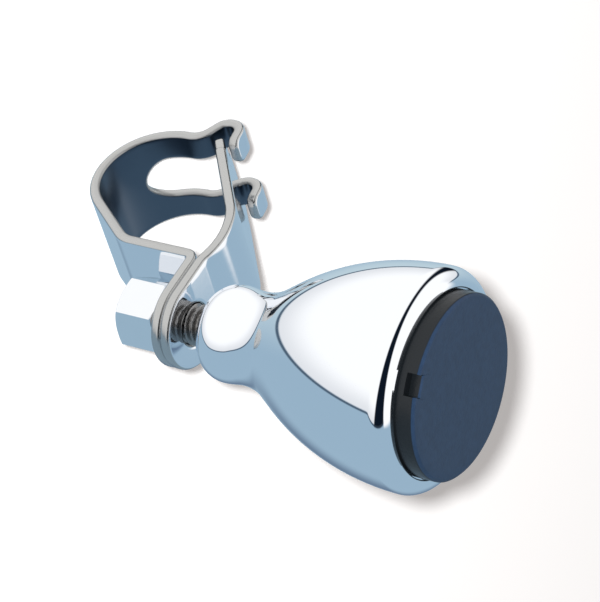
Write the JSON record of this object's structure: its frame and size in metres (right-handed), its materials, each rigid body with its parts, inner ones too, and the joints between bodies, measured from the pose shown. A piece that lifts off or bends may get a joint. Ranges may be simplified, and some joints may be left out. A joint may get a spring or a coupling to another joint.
{
  "type": "steering wheel spinner knob",
  "caption": "Chromed bell-shaped spinner knob with a snap-in dark cap, turning on a shoulder screw that a nut holds in a hooked strap clamp for a steering wheel rim.",
  "frame": {"origin": "centre of the clamp's loop, on the axis of the steering wheel rim that it holds, mid-width of the band", "axes": "+X along the held rim, +Y from the spindle towards the clamp's hooks, +Z along the spindle from the clamp to the cap"},
  "size_m": [0.0414, 0.0655, 0.0927],
  "materials": {
    "strap_chrome": "polished faces, satin sheared edges",
    "nut_chrome": "polished",
    "spring_steel": "plain spring steel",
    "screw_steel": "oiled dark steel",
    "bushing_bronze": "sintered",
    "shell_chrome": "mirror polished",
    "cap_plastic": "fine grained"
  },
  "bodies": {
    "clamp": {"loop_strap": "strap_chrome"},
    "latch": {"latch_strap": "strap_chrome", "spindle_bolt": "screw_steel", "thrust_washer": "spring_steel", "spring_washer": "spring_steel"},
    "washer": {"lock_washer": "spring_steel"},
    "nut": {"clamp_nut": "nut_chrome"},
    "knob": {"knob_shell": "shell_chrome", "front_bushing": "bushing_bronze", "rear_bushing": "bushing_bronze"},
    "cap": {"knob_cap": "cap_plastic"}
  },
  "joints": [
    {"name": "clamp_swing", "type": "hinge", "parent": "clamp", "child": "latch", "pos_m": [0, 0.01528, 0.00692], "axis": [-1, 0, 0], "range_deg": [0, 3.2]},
    {"name": "washer_slide", "type": "slide", "parent": "latch", "child": "washer", "axis": [0, 0, -1], "range_m": [0, 0.00285]},
    {"name": "nut_turn", "type": "hinge", "parent": "washer", "child": "nut", "pos_m": [0, -0.02583, 0.012], "axis": [0, 0, -1], "range_deg": [0, 720]},
    {"name": "knob_spin", "type": "hinge", "parent": "latch", "child": "knob", "pos_m": [0, -0.02583, 0.045], "axis": [0, 0, 1], "continuous": true},
    {"name": "cap_pull", "type": "slide", "parent": "knob", "child": "cap", "axis": [0, 0, 1], "range_m": [0, 0.012]}
  ],
  "couplings": [
    {"joint": "nut_turn", "follows": "clamp_swing", "ratio": 225},
    {"joint": "washer_slide", "follows": "clamp_swing", "m_per_rad": 0.050531}
  ]
}
